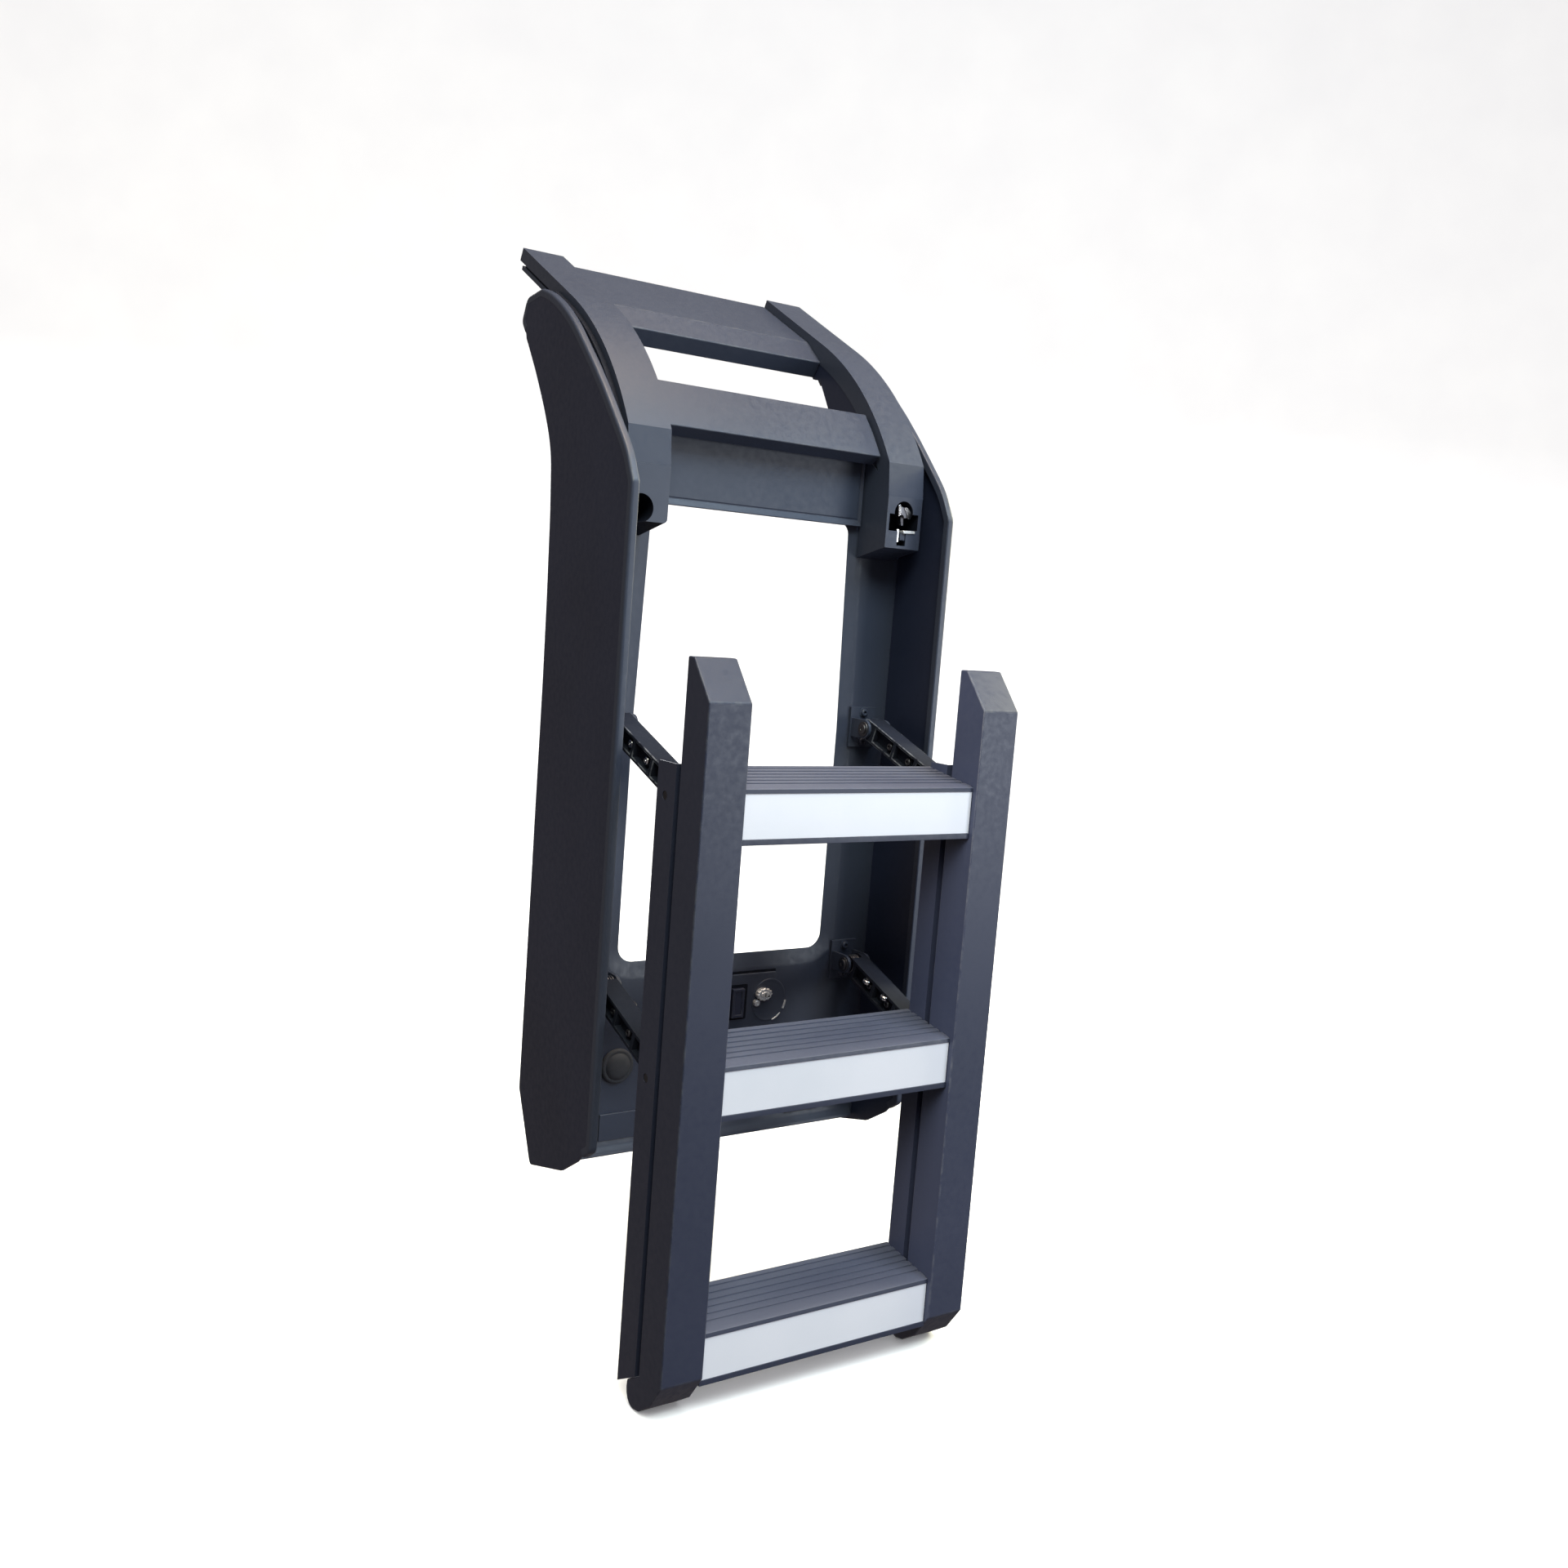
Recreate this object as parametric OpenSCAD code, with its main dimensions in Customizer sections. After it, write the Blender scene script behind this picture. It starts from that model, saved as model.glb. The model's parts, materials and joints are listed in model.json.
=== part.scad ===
// Fold-out side ladder for a tall vehicle.
// X runs along the vehicle side, Y = 0 is the plane of the rear mounting bars and
// -Y points away from the vehicle, +Z is up. The origin is the middle of the upper
// mounting bar's rear face. The ladder is drawn let down, ready to climb.

/* [Wall frame] */
// Overall width over the two side plates
frame_w = 456; // [454:1:476]
// Thickness of a side plate
plate_t = 10; // [6:0.5:10]
// Distance from the mounting plane to the plates' front edges
frame_d = 206; // [202:1:212]
// Distance from the mounting plane to the front of the back panel
panel_y = 104; // [102:1:106]
// Thickness of the back panel
panel_t = 5; // [3:0.5:8]
// Width of the opening in the back panel
window_w = 300; // [260:1:310]

/* [Folding ladder] */
// Width over the two rails
ladder_w = 424; // [412:1:424]
// Width of a rail's front face
rail_w = 53; // [48:1:54]
// Depth of a front rail
rail_d = 48; // [40:1:48]
// Height from one step to the next
step_pitch = 300; // [280:1:300]
// Depth of the rear channels
channel_d = 38; // [38:1:40]
// Slope of a step's top, rising towards the vehicle, in degrees
step_slope = 13; // [0:1:15]
// Height of a reflective strip
strip_h = 48.6; // [40:0.2:50]

/* [Linkage] */
// Distance between the two pins of a link
link_l = 170; // [168:1:171]
// Angle of the links below level when the ladder is down
link_a = 20.4; // [19:0.2:22]
// Width of a link
link_w = 26; // [22:1:28]
// Radius of a pivot pin
pin_r = 5; // [4:0.5:6]
// Running clearance of the pins, radial
pin_gap = 0.06; // [0.03:0.01:0.1]
// Clearance of the lower links' front holes, radial
loose_gap = 0.6; // [0.4:0.1:1]

/* [Roof curve] */
// Outer radius of the curved rails
curve_r = 392; // [384:1:400]
// Thickness of the curved rails
curve_t = 24; // [20:1:26]
// Width of a curved rail's face
curve_w = 55; // [50:1:55]

/* [Hidden] */
$fn = 64;

dark = [0.20, 0.21, 0.25];
dark2 = [0.15, 0.155, 0.19];
steel = [0.75, 0.76, 0.78];
white = [0.92, 0.93, 0.97];

hw = frame_w / 2;           // outer half width of the frame
hi = hw - plate_t;          // inner half width of the frame
lw = ladder_w / 2;          // outer half width of the ladder
li = lw - rail_w;           // inner half width of the ladder
panel_f = -panel_y;         // front of the back panel
panel_b = -panel_y + panel_t;

// ladder: front plane and the height of the upper bend of its rails
lad_y = -370;
lad_z = -250;
rail_len = 790;
// pivots, in Y and Z
piv_y = -134;
piv_z = -297;
piv_step = 310;
lp_y = piv_y - link_l * cos(link_a);
lp_z = piv_z - link_l * sin(link_a);
lx = (li + lw) / 2;         // middle plane of a link
// centre of the roof curve
cy = 184.9;
cz = -152.8;
arc_a0 = 29.3;
arc_a1 = 62.7;
tip_l = 165.4;
ro = 211;                   // outer side of a curved rail
ri = ro - curve_w;          // inner side of a curved rail

// a profile drawn in Y and Z, given a width along X from x0
module along_x(x0, w) { translate([x0, 0, 0]) rotate([90, 0, 90]) linear_extrude(w) children(); }
// a round bar along X
module bar_x(x0, w, y, z, r) { translate([x0, y, z]) rotate([0, 90, 0]) cylinder(r = r, h = w); }
// the same piece on the right and, mirrored, on the left
module both() { children(); mirror([1, 0, 0]) children(); }

// ---------- wall frame ----------
function arc_pt(r, a) = [cy - r * cos(a), cz + r * sin(a)];

module plate_profile() {
  polygon([
    [-frame_d, -780], [-frame_d, -26], [-189, 7], [-170, 29], [-149, 52], [-124, 79], [-96, 107], [-72, 129],
    [-48, 151], [-32, 164], [-12, 178], [9, 190], [30, 200], [54, 207], [76, 205], [95, 197], [108, 183],
    [108, 169], [85, 145], [60, 112], [31, 69], [11, 33], [1, 5],
    [-5, -61], [-9, -160], [-11, -259], [-11, -765], [-53, -849], [-138, -826], [-175, -802]
  ]);
}
module side_plate(x0) { color(dark2) along_x(x0, plate_t) plate_profile(); }
module side_plate_left() { side_plate(-hw); }
module side_plate_right() { side_plate(hi); }

// quarter round from angle a0
function corner(cx, cz, r, a0) = [for (i = [0:6]) [cx + r * cos(a0 + 15 * i), cz + r * sin(a0 + 15 * i)]];
// opening with rounded corners, a little narrower towards its top
module window_2d(z0, z1, w, rb, rt, in) {
  polygon(concat(
    corner(rb - w / 2, z0 + rb, rb, 180), corner(w / 2 - rb, z0 + rb, rb, 270), [[w / 2, z1 - 262]],
    corner(w / 2 - in - rt, z1 - rt, rt, 0), corner(in + rt - w / 2, z1 - rt, rt, 90), [[-w / 2, z1 - 262]]));
}
module back_panel() {
  color(dark) translate([0, panel_b, 0]) rotate([90, 0, 0]) linear_extrude(panel_t) difference() {
    translate([-hi, -828]) square([2 * hi, 880]);
    window_2d(-590, -38, window_w, 20, 14, 7);
  }
}
module cross_panel() {
  color(dark) difference() {
    translate([-154, panel_f - 5, -41]) cube([308, 5, 91]);
  }
}

// points along a curved rail at one radius, from the foot to the end of the straight tip
arc_n = 24;
tip_d = [sin(arc_a1), cos(arc_a1)];
function arc_run(r, t_end) = concat(
  [for (i = [0:arc_n]) arc_pt(r, arc_a0 + (arc_a1 - arc_a0) * i / arc_n)],
  [arc_pt(r, arc_a1) + t_end * tip_d]);
function back_run(pts) = [for (i = [len(pts) - 1:-1:0]) pts[i]];
module curved_rail(x0, s) {
  color(dark) difference() {
    // foot on the latch block, arc and straight tip in one outline
    // the rear layer ends a little short of the front one
    along_x(x0, curve_w) polygon(concat(
      [[-161, -2]], arc_run(curve_r, tip_l),
      [arc_pt(curve_r - 16, arc_a1) + tip_l * tip_d, arc_pt(curve_r - 16, arc_a1) + (tip_l - 11) * tip_d],
      back_run(arc_run(curve_r - curve_t, tip_l - 11)), [[panel_f, 50], [panel_f, -2]]));
    // groove between the rail's front and rear layers
    along_x(s > 0 ? x0 + curve_w - 4 : x0 - 1, 5)
      polygon(concat(arc_run(curve_r - 16, tip_l + 1), back_run(arc_run(curve_r - 19, tip_l + 1))));
  }
}
module curved_rail_left() { curved_rail(-ro, -1); }
module curved_rail_right() { curved_rail(ri, 1); }
// recessed strips that close the gap to the side plates
module rail_spacers() {
  color(dark2) both() along_x(ro, hi - ro)
    polygon(concat([[-150, -60]], arc_run(curve_r - 8, 34), back_run(arc_run(curve_r - 16, 34)), [[-142, -60]]));
}

module latch_body(x0) {
  along_x(x0, curve_w) polygon([[-161, -2], [-161, -66], [panel_f, -80], [panel_f, -2]]);
}
// the latches' mouths: a round hole on the left, a crossed slot on the right
module latch_block_left() {
  color(dark) difference() {
    latch_body(-ro);
    translate([-191, -162, -51.6]) rotate([-90, 0, 0]) cylinder(r = 16, h = 36);
  }
}
module latch_block_right() {
  color(dark) difference() {
    latch_body(ri);
    translate([ri + 4.5, -162, -45]) cube([45.5, 36, 23]);
    translate([184.5, -162, -24]) rotate([-90, 0, 0]) cylinder(r = 13.5, h = 36);
    translate([171, -162, -63]) cube([17, 36, 40]);
  }
}
module latch_hooks() {
  color(steel) {
    translate([177, -146, -61]) cube([5, 20, 48]);
    translate([189, -146, -45]) cube([15, 20, 4]);
    translate([-190, -142, -46]) cube([4, 16, 9]);
  }
}

module upper_slat() {
  color(dark) along_x(-ri, 2 * ri) polygon([
    [9, 174], [42, 203], [158, 263], [169, 242], [54, 182], [23, 155]
  ]);
}
module lower_slat() {
  color(dark) along_x(-ri, 2 * ri) polygon(concat(
    [for (i = [0:8]) arc_pt(curve_r - 9, 31.25 + i * 1.25)], [for (i = [8:-1:0]) arc_pt(curve_r - 29, 31.25 + i * 1.25)]));
}

// clevis of one link on the back panel
module bracket(z) {
  color(dark2) difference() {
    union() {
      translate([lx - 20, panel_f - 4, z - 26]) cube([40, 4, 52]);
      for (x = [lx - 18, lx + 14]) {
        bar_x(x, 4, piv_y, z, 12);
        translate([x, piv_y, z - 12]) cube([4, panel_f - 4 - piv_y, 24]);
      }
    }
    bar_x(lx - 30, 60, piv_y, z, pin_r);
  }
}
module upper_brackets() { both() bracket(piv_z); }
module lower_brackets() { both() bracket(piv_z - piv_step); }
module frame_pin(z) { color(steel) { bar_x(lx - 18, 36, piv_y, z, pin_r); bar_x(lx - 20, 2, piv_y, z, 7); } }
module upper_frame_pins() { both() frame_pin(piv_z); }
module lower_frame_pins() { both() frame_pin(piv_z - piv_step); }
module pivot_springs() {
  color(dark2) both() difference() {
    bar_x(lx - 12.5, 15.5, piv_y, piv_z - piv_step, 12.5);
    bar_x(lx - 13, 16.5, piv_y, piv_z - piv_step, 6);
  }
}

module lock_case() {
  color(dark2) difference() {
    translate([13, panel_f - 8, -672]) cube([26, 8, 44]);
    translate([13 + 4, panel_f - 9, -668]) cube([26 - 8, 2.5, 36]);
  }
}
module lock_cylinder() {
  color(steel) {
    translate([75, panel_f, -651]) rotate([90, 0, 0]) cylinder(r = 28, h = 4);
    translate([63, panel_f, -647.5]) rotate([90, 0, 0]) cylinder(r = 12.5, h = 15);
  }
}
module bumpers() {
  color([0.08, 0.08, 0.09]) both() translate([144, panel_f, -718]) rotate([90, 0, 0]) {
    cylinder(r = 22, h = 5);
    cylinder(r = 15, h = 9);
  }
}
module bumper_pads() {
  color(dark) both() translate([111, panel_f - 3, -811]) cube([53, 3, 34]);
}
// channel open to the front, its web flat on the mounting plane
module mount_bar(z, h) {
  color(dark2) difference() {
    translate([-hi, -17, z - h / 2]) cube([2 * hi, 17, h]);
    translate([-hi - 1, -18, z - h / 2 + 5]) cube([2 * hi + 2, 12, h - 10]);
    for (x = [-150, 150]) translate([x, 1, z]) rotate([90, 0, 0]) cylinder(r = 4.5, h = 8);
  }
}
module upper_mount_bar() { mount_bar(0, 50); }
module lower_mount_bar() { mount_bar(-720, 60); }

// ---------- links ----------
module link_arm(sx, y0, z0, r_back, r_front) {
  w2 = link_w / 2;
  x0 = sx * lx;
  color(dark2) translate([x0, y0, z0]) rotate([link_a, 0, 0]) difference() {
    union() {
      bar_x(-w2, link_w, 0, 0, 13);
      bar_x(-w2, link_w, -link_l, 0, 13);
      translate([-w2, -link_l, -13]) cube([link_w, link_l, 26]);
    }
    bar_x(-w2 - 1, link_w + 2, 0, 0, r_back);
    bar_x(-w2 - 1, link_w + 2, -link_l, 0, r_front);
    // pockets on both sides leave a web with ribs
    for (x = [-w2 - 1, w2 - 9], q = [[-58, 40], [-104, 40], [-150, 40]])
      translate([x, q[0], -9]) cube([10, q[1], 18]);
    children();
  }
}
module upper_link_left() { link_arm(-1, piv_y, piv_z, pin_r + pin_gap, pin_r + pin_gap); }
module upper_link_right() { link_arm(1, piv_y, piv_z, pin_r + pin_gap, pin_r + pin_gap); }
// the lower links are notched on their inner sides for the return springs
module lower_link(sx) {
  link_arm(sx, piv_y, piv_z - piv_step, pin_r + pin_gap, pin_r + loose_gap)
    bar_x(sx > 0 ? -link_w / 2 - 1 : link_w / 2 - 17, 18, 0, 0, 14);
}
module lower_link_left() { lower_link(-1); }
module lower_link_right() { lower_link(1); }

// ---------- ladder ----------
ch_y0 = rail_d + 8;
// sloping lower end of the rear channels, resting on the rails' feet
function ch_cut(y) = -750 - 0.58 * (y - ch_y0);
module rail(x0) {
  // the foot reaches back under the channel, its corners rounded
  color(dark) along_x(x0, rail_w) translate([lad_y, lad_z]) polygon([
    [0, 0], [36, 44], [rail_d, 44], [rail_d, ch_cut(rail_d) - 0.5], [ch_y0 + 17, ch_cut(ch_y0 + 17) - 0.5],
    [ch_y0 + 17.6, -768], [ch_y0 + 16.8, -775.5], [ch_y0 + 13.6, -782], [ch_y0 + 8, -786.8], [ch_y0 + 1, -788],
    [ch_y0 - 11, -785.2], [22, -769], [0, -737.5]
  ]);
}
module rail_left() { rail(-lw); }
module rail_right() { rail(li); }

module rail_channel(s) {
  x0 = s > 0 ? li : -lw;
  z0 = -780;
  z1 = -70;
  color(dark) difference() {
    translate([0, lad_y, lad_z]) difference() {
      union() {
        translate([x0, ch_y0, z0]) cube([rail_w, channel_d, z1 - z0]);
        // spine that carries the front rail
        translate([x0 + 10, rail_d, z0]) cube([rail_w - 20, 8, z1 - z0]);
      }
      translate([x0 + 3, ch_y0 + 3, z0 - 1]) cube([rail_w - 6, channel_d, z1 - z0 + 2]);
    }
    for (k = [0, 1]) bar_x(x0 - 1, rail_w + 2, lp_y, lp_z - k * piv_step, pin_r);
    along_x(x0 - 1, rail_w + 2) translate([lad_y, lad_z]) polygon([
      [rail_d - 1, ch_cut(rail_d - 1)], [ch_y0 + channel_d + 1, ch_cut(ch_y0 + channel_d + 1)],
      [ch_y0 + channel_d + 1, -800], [rail_d - 1, -800]
    ]);
  }
}
module rail_channel_left() { rail_channel(-1); }
module rail_channel_right() { rail_channel(1); }

function step_z(i) = lad_z - 95 - i * step_pitch;
module step(i) {
  z = step_z(i);
  yf = lad_y + 7.5;
  yb = lad_y + 91;
  h = (yb - yf) * tan(step_slope);
  color(dark) difference() {
    along_x(-li, 2 * li) difference() {
      polygon([[yf - 1, z - 55], [yf - 1, z - strip_h], [yf + 1, z - strip_h], [yf + 1, z], [yf - 1, z], [yf, z + 5], [yf + 5, z + 7],
               [yb - 3, z + h], [yb, z + h - 3], [yb, z - 4], [yb - 3, z - 7], [yf + 12, z - 55]]);
      polygon([[yf + 4, z - 51], [yf + 4, z + 2], [yb - 4, z + h - 5], [yb - 4, z - 4], [yf + 11, z - 51]]);
    }
    // grip grooves
    for (k = [0:5]) translate([-li - 1, yf + 15 + 11 * k, z + 7 + (10 + 11 * k) * (h - 7) / (yb - yf - 8)])
      rotate([atan((h - 7) / (yb - yf - 8)), 0, 0]) translate([0, 0, -1.6]) cube([2 * li + 2, 4, 5]);
  }
}
module step_top() { step(0); }
module step_middle() { step(1); }
module step_bottom() { step(2); }
module reflector_strips() {
  color(white) for (i = [0:2]) translate([-li + 1, lad_y + 7.5, step_z(i) - strip_h]) cube([2 * li - 2, 1, strip_h]);
}
module ladder_pin(z) { color(steel) bar_x(li + 0.5, rail_w - 1, lp_y, z, pin_r); }
module upper_ladder_pins() { both() ladder_pin(lp_z); }
module lower_ladder_pins() { both() ladder_pin(lp_z - piv_step); }
module latch_studs() {
  color(steel) for (q = [[-191, -280.6], [185.5, -262.5]])
    translate([q[0], lad_y + rail_d, q[1]]) rotate([-90, 0, 0]) cylinder(r = 5, h = 12);
}

side_plate_left();
side_plate_right();
back_panel();
cross_panel();
curved_rail_left();
curved_rail_right();
rail_spacers();
latch_block_left();
latch_block_right();
latch_hooks();
upper_slat();
lower_slat();
upper_brackets();
lower_brackets();
upper_frame_pins();
lower_frame_pins();
pivot_springs();
lock_case();
lock_cylinder();
bumpers();
bumper_pads();
upper_mount_bar();
lower_mount_bar();
upper_link_left();
upper_link_right();
lower_link_left();
lower_link_right();
rail_left();
rail_right();
rail_channel_left();
rail_channel_right();
step_top();
step_middle();
step_bottom();
reflector_strips();
upper_ladder_pins();
lower_ladder_pins();
latch_studs();
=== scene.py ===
import json
import math

import bmesh
import bpy
import numpy as np
from mathutils import Matrix, Vector

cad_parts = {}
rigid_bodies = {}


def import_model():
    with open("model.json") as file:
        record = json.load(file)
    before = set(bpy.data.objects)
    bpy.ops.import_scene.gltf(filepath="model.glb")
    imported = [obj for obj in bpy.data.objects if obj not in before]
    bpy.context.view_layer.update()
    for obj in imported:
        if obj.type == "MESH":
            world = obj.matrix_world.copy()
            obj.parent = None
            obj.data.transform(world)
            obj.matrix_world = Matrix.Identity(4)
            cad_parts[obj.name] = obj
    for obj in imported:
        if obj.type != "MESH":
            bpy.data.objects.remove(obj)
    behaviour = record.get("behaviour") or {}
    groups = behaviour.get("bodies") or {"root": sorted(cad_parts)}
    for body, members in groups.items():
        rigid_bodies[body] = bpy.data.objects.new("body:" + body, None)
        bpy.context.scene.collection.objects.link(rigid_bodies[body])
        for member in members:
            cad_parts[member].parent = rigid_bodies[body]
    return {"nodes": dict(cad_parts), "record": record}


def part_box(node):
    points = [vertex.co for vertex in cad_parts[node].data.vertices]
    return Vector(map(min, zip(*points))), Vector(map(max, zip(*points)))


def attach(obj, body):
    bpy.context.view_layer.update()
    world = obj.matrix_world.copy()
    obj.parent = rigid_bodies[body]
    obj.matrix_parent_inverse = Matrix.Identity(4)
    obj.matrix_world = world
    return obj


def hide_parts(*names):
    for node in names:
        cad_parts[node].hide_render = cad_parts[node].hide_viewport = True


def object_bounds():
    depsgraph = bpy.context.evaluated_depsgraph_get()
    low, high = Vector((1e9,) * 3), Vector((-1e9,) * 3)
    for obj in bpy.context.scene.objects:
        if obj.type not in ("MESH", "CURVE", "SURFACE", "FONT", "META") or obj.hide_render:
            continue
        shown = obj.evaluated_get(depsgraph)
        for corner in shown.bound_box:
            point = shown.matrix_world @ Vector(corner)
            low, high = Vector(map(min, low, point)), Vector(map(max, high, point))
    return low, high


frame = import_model()
cad_lo, cad_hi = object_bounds()

MM = 0.001
scene = bpy.context.scene
coll = scene.collection


# ---------------------------------------------------------------- camera
def camera():
    az, el, roll = math.radians(-34.696), math.radians(6.842), math.radians(4.443)
    back = Vector((math.sin(az) * math.cos(el), -math.cos(az) * math.cos(el), math.sin(el)))
    right0 = Vector((math.cos(az), math.sin(az), 0))
    up0 = right0.cross(-back)
    right = math.cos(roll) * right0 + math.sin(roll) * up0
    up = -math.sin(roll) * right0 + math.cos(roll) * up0
    cam = bpy.data.cameras.new("camera")
    cam.lens = 34.258
    cam.sensor_width = 36
    cam.clip_start, cam.clip_end = 0.05, 50
    o = bpy.data.objects.new("camera", cam)
    m = Matrix.Identity(4)
    for i in range(3):
        m[i][0], m[i][1], m[i][2] = right[i], up[i], back[i]
    m.translation = Vector((-1.0013, -1.6532, -0.1462))
    o.matrix_world = m
    coll.objects.link(o)
    scene.camera = o


camera()


# ---------------------------------------------------------------- materials
class Mat:
    """A small helper round a node material."""

    def __init__(self, name):
        self.m = bpy.data.materials.new(name)
        self.m.use_nodes = True
        self.t = self.m.node_tree
        self.b = self.t.nodes["Principled BSDF"]
        self.co = self.t.nodes.new("ShaderNodeTexCoord").outputs["Object"]

    def node(self, kind, **k):
        n = self.t.nodes.new(kind)
        for a, v in k.items():
            setattr(n, a, v)
        return n

    def link(self, a, b):
        self.t.links.new(a, b)

    def noise(self, scale, detail=3, rough=0.5, stretch=None, seed=0.0):
        n = self.node("ShaderNodeTexNoise", noise_dimensions="3D")
        n.inputs["Scale"].default_value = scale
        n.inputs["Detail"].default_value = detail
        n.inputs["Roughness"].default_value = rough
        mp = self.node("ShaderNodeMapping")
        mp.inputs["Location"].default_value = (seed, seed * 1.7, seed * 0.6)
        if stretch:
            mp.inputs["Scale"].default_value = stretch
        self.link(self.co, mp.inputs["Vector"])
        self.link(mp.outputs["Vector"], n.inputs["Vector"])
        return n.outputs["Fac"]

    def ramp(self, src, stops):
        n = self.node("ShaderNodeValToRGB")
        e = n.color_ramp.elements
        while len(e) < len(stops):
            e.new(0.5)
        for x, (p, c) in zip(e, stops):
            x.position = p
            x.color = (*c, 1) if len(c) == 3 else c
        self.link(src, n.inputs["Fac"])
        return n.outputs["Color"]

    def span(self, src, a, b, c, d):
        n = self.node("ShaderNodeMapRange")
        for i, v in enumerate((a, b, c, d)):
            n.inputs[i + 1].default_value = v
        self.link(src, n.inputs["Value"])
        return n.outputs["Result"]

    def math(self, op, a, b):
        n = self.node("ShaderNodeMath", operation=op)
        for i, v in enumerate((a, b)):
            if isinstance(v, (int, float)):
                n.inputs[i].default_value = v
            else:
                self.link(v, n.inputs[i])
        return n.outputs["Value"]

    def mix(self, fac, a, b):
        n = self.node("ShaderNodeMix", data_type="RGBA")
        for s, v in (("Factor", fac), ("A", a), ("B", b)):
            sock = [i for i in n.inputs if i.name == s and (i.type == ("VALUE" if s == "Factor" else "RGBA"))][0]
            if isinstance(v, (int, float)):
                sock.default_value = v
            elif isinstance(v, tuple):
                sock.default_value = (*v, 1)
            else:
                self.link(v, sock)
        return [o for o in n.outputs if o.type == "RGBA"][0]

    def bump(self, src, strength, distance, normal=None):
        n = self.node("ShaderNodeBump")
        n.inputs["Strength"].default_value = strength
        n.inputs["Distance"].default_value = distance
        self.link(src, n.inputs["Height"])
        if normal is not None:
            self.link(normal, n.inputs["Normal"])
        return n.outputs["Normal"]

    def attr(self, name):
        return self.node("ShaderNodeAttribute", attribute_name=name, attribute_type="GEOMETRY").outputs["Fac"]


def coat(name, c0, c1, rough=(0.36, 0.5), grain=0.35, edge_wear_and_highlight_colour=(0.13, 0.14, 0.16), edge_wear_and_highlight_amount=0.35, seed=0.0, metallic=0.0,
         spec=0.5):
    """Satin powder coat: fine orange peel, slow colour drift, a lighter tint on the bevel faces: slight rubbed wear,
    and on the upper links' coat a painted edge highlight.
    """
    m = Mat(name)
    big = m.noise(5.0, 4, 0.55, seed=seed)
    fine = m.noise(1500, 2, 0.6, seed=seed + 3)
    mid = m.noise(140, 3, 0.5, seed=seed + 5)
    col = m.mix(m.span(big, 0.3, 0.7, 0, 1), c0, c1)
    edge = m.attr("edge")
    # bevel faces get the edge tint: rubbed wear, and where the tint is bright a painted highlight
    edge_rub_and_highlight = m.math("MULTIPLY", edge, m.span(m.noise(60, 5, 0.65, seed=seed + 9), 0.42, 0.66, 0, edge_wear_and_highlight_amount))
    col = m.mix(edge_rub_and_highlight, col, edge_wear_and_highlight_colour)
    m.link(col, m.b.inputs["Base Color"])
    r = m.math("ADD", m.span(mid, 0.3, 0.7, rough[0], rough[1]), m.span(fine, 0.3, 0.7, -0.03, 0.03))
    m.link(m.math("SUBTRACT", r, m.math("MULTIPLY", edge_rub_and_highlight, 0.08)), m.b.inputs["Roughness"])
    n = m.bump(fine, grain, 0.00006)
    n = m.bump(mid, grain * 0.35, 0.00008, n)
    m.link(n, m.b.inputs["Normal"])
    m.b.inputs["Metallic"].default_value = metallic
    m.b.inputs["Specular IOR Level"].default_value = spec
    return m.m


def steel(name, c0, c1, rough=(0.16, 0.3), seed=0.0, stretch=None, metallic=1.0):
    m = Mat(name)
    big = m.noise(90, 4, 0.6, seed=seed, stretch=stretch)
    fine = m.noise(1500, 2, 0.5, seed=seed + 2, stretch=stretch)
    m.link(m.mix(m.span(big, 0.3, 0.7, 0, 1), c0, c1), m.b.inputs["Base Color"])
    m.link(m.math("ADD", m.span(big, 0.3, 0.7, rough[0], rough[1]), m.span(fine, 0.3, 0.7, -0.04, 0.04)),
           m.b.inputs["Roughness"])
    m.link(m.bump(fine, 0.25, 0.0001), m.b.inputs["Normal"])
    m.b.inputs["Metallic"].default_value = metallic
    return m.m


def rubber(name, c0=(0.012, 0.012, 0.014), c1=(0.022, 0.022, 0.025), seed=0.0):
    m = Mat(name)
    big = m.noise(40, 4, 0.6, seed=seed)
    fine = m.noise(1800, 3, 0.6, seed=seed + 2)
    m.link(m.mix(m.span(big, 0.3, 0.7, 0, 1), c0, c1), m.b.inputs["Base Color"])
    m.link(m.span(fine, 0.3, 0.7, 0.6, 0.85), m.b.inputs["Roughness"])
    m.link(m.bump(fine, 0.4, 0.0002), m.b.inputs["Normal"])
    return m.m


def tape(name):
    """White retroreflective tape: pale, faintly cool, a very fine honeycomb of cells."""
    m = Mat(name)
    v = m.node("ShaderNodeTexVoronoi", feature="DISTANCE_TO_EDGE")
    v.inputs["Scale"].default_value = 420
    m.link(m.co, v.inputs["Vector"])
    cell = m.span(v.outputs["Distance"], 0.0, 0.12, 0, 1)
    big = m.noise(7, 3, 0.5, seed=4)
    col = m.mix(m.span(big, 0.35, 0.65, 0, 1), (0.59, 0.615, 0.69), (0.64, 0.655, 0.73))
    m.link(m.mix(m.math("MULTIPLY", m.math("SUBTRACT", 1.0, cell), 0.12), col, (0.55, 0.585, 0.665)), m.b.inputs["Base Color"])
    m.link(m.span(big, 0.3, 0.7, 0.32, 0.42), m.b.inputs["Roughness"])
    m.link(m.bump(cell, 0.2, 0.0001), m.b.inputs["Normal"])
    m.b.inputs["Coat Weight"].default_value = 0.3
    m.b.inputs["Coat Roughness"].default_value = 0.15
    # painted light: a faint emission makes the tape brighter than its lamps light it
    m.b.inputs["Emission Color"].default_value = (0.86, 0.90, 1.0, 1)
    m.b.inputs["Emission Strength"].default_value = 0.18
    return m.m


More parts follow.
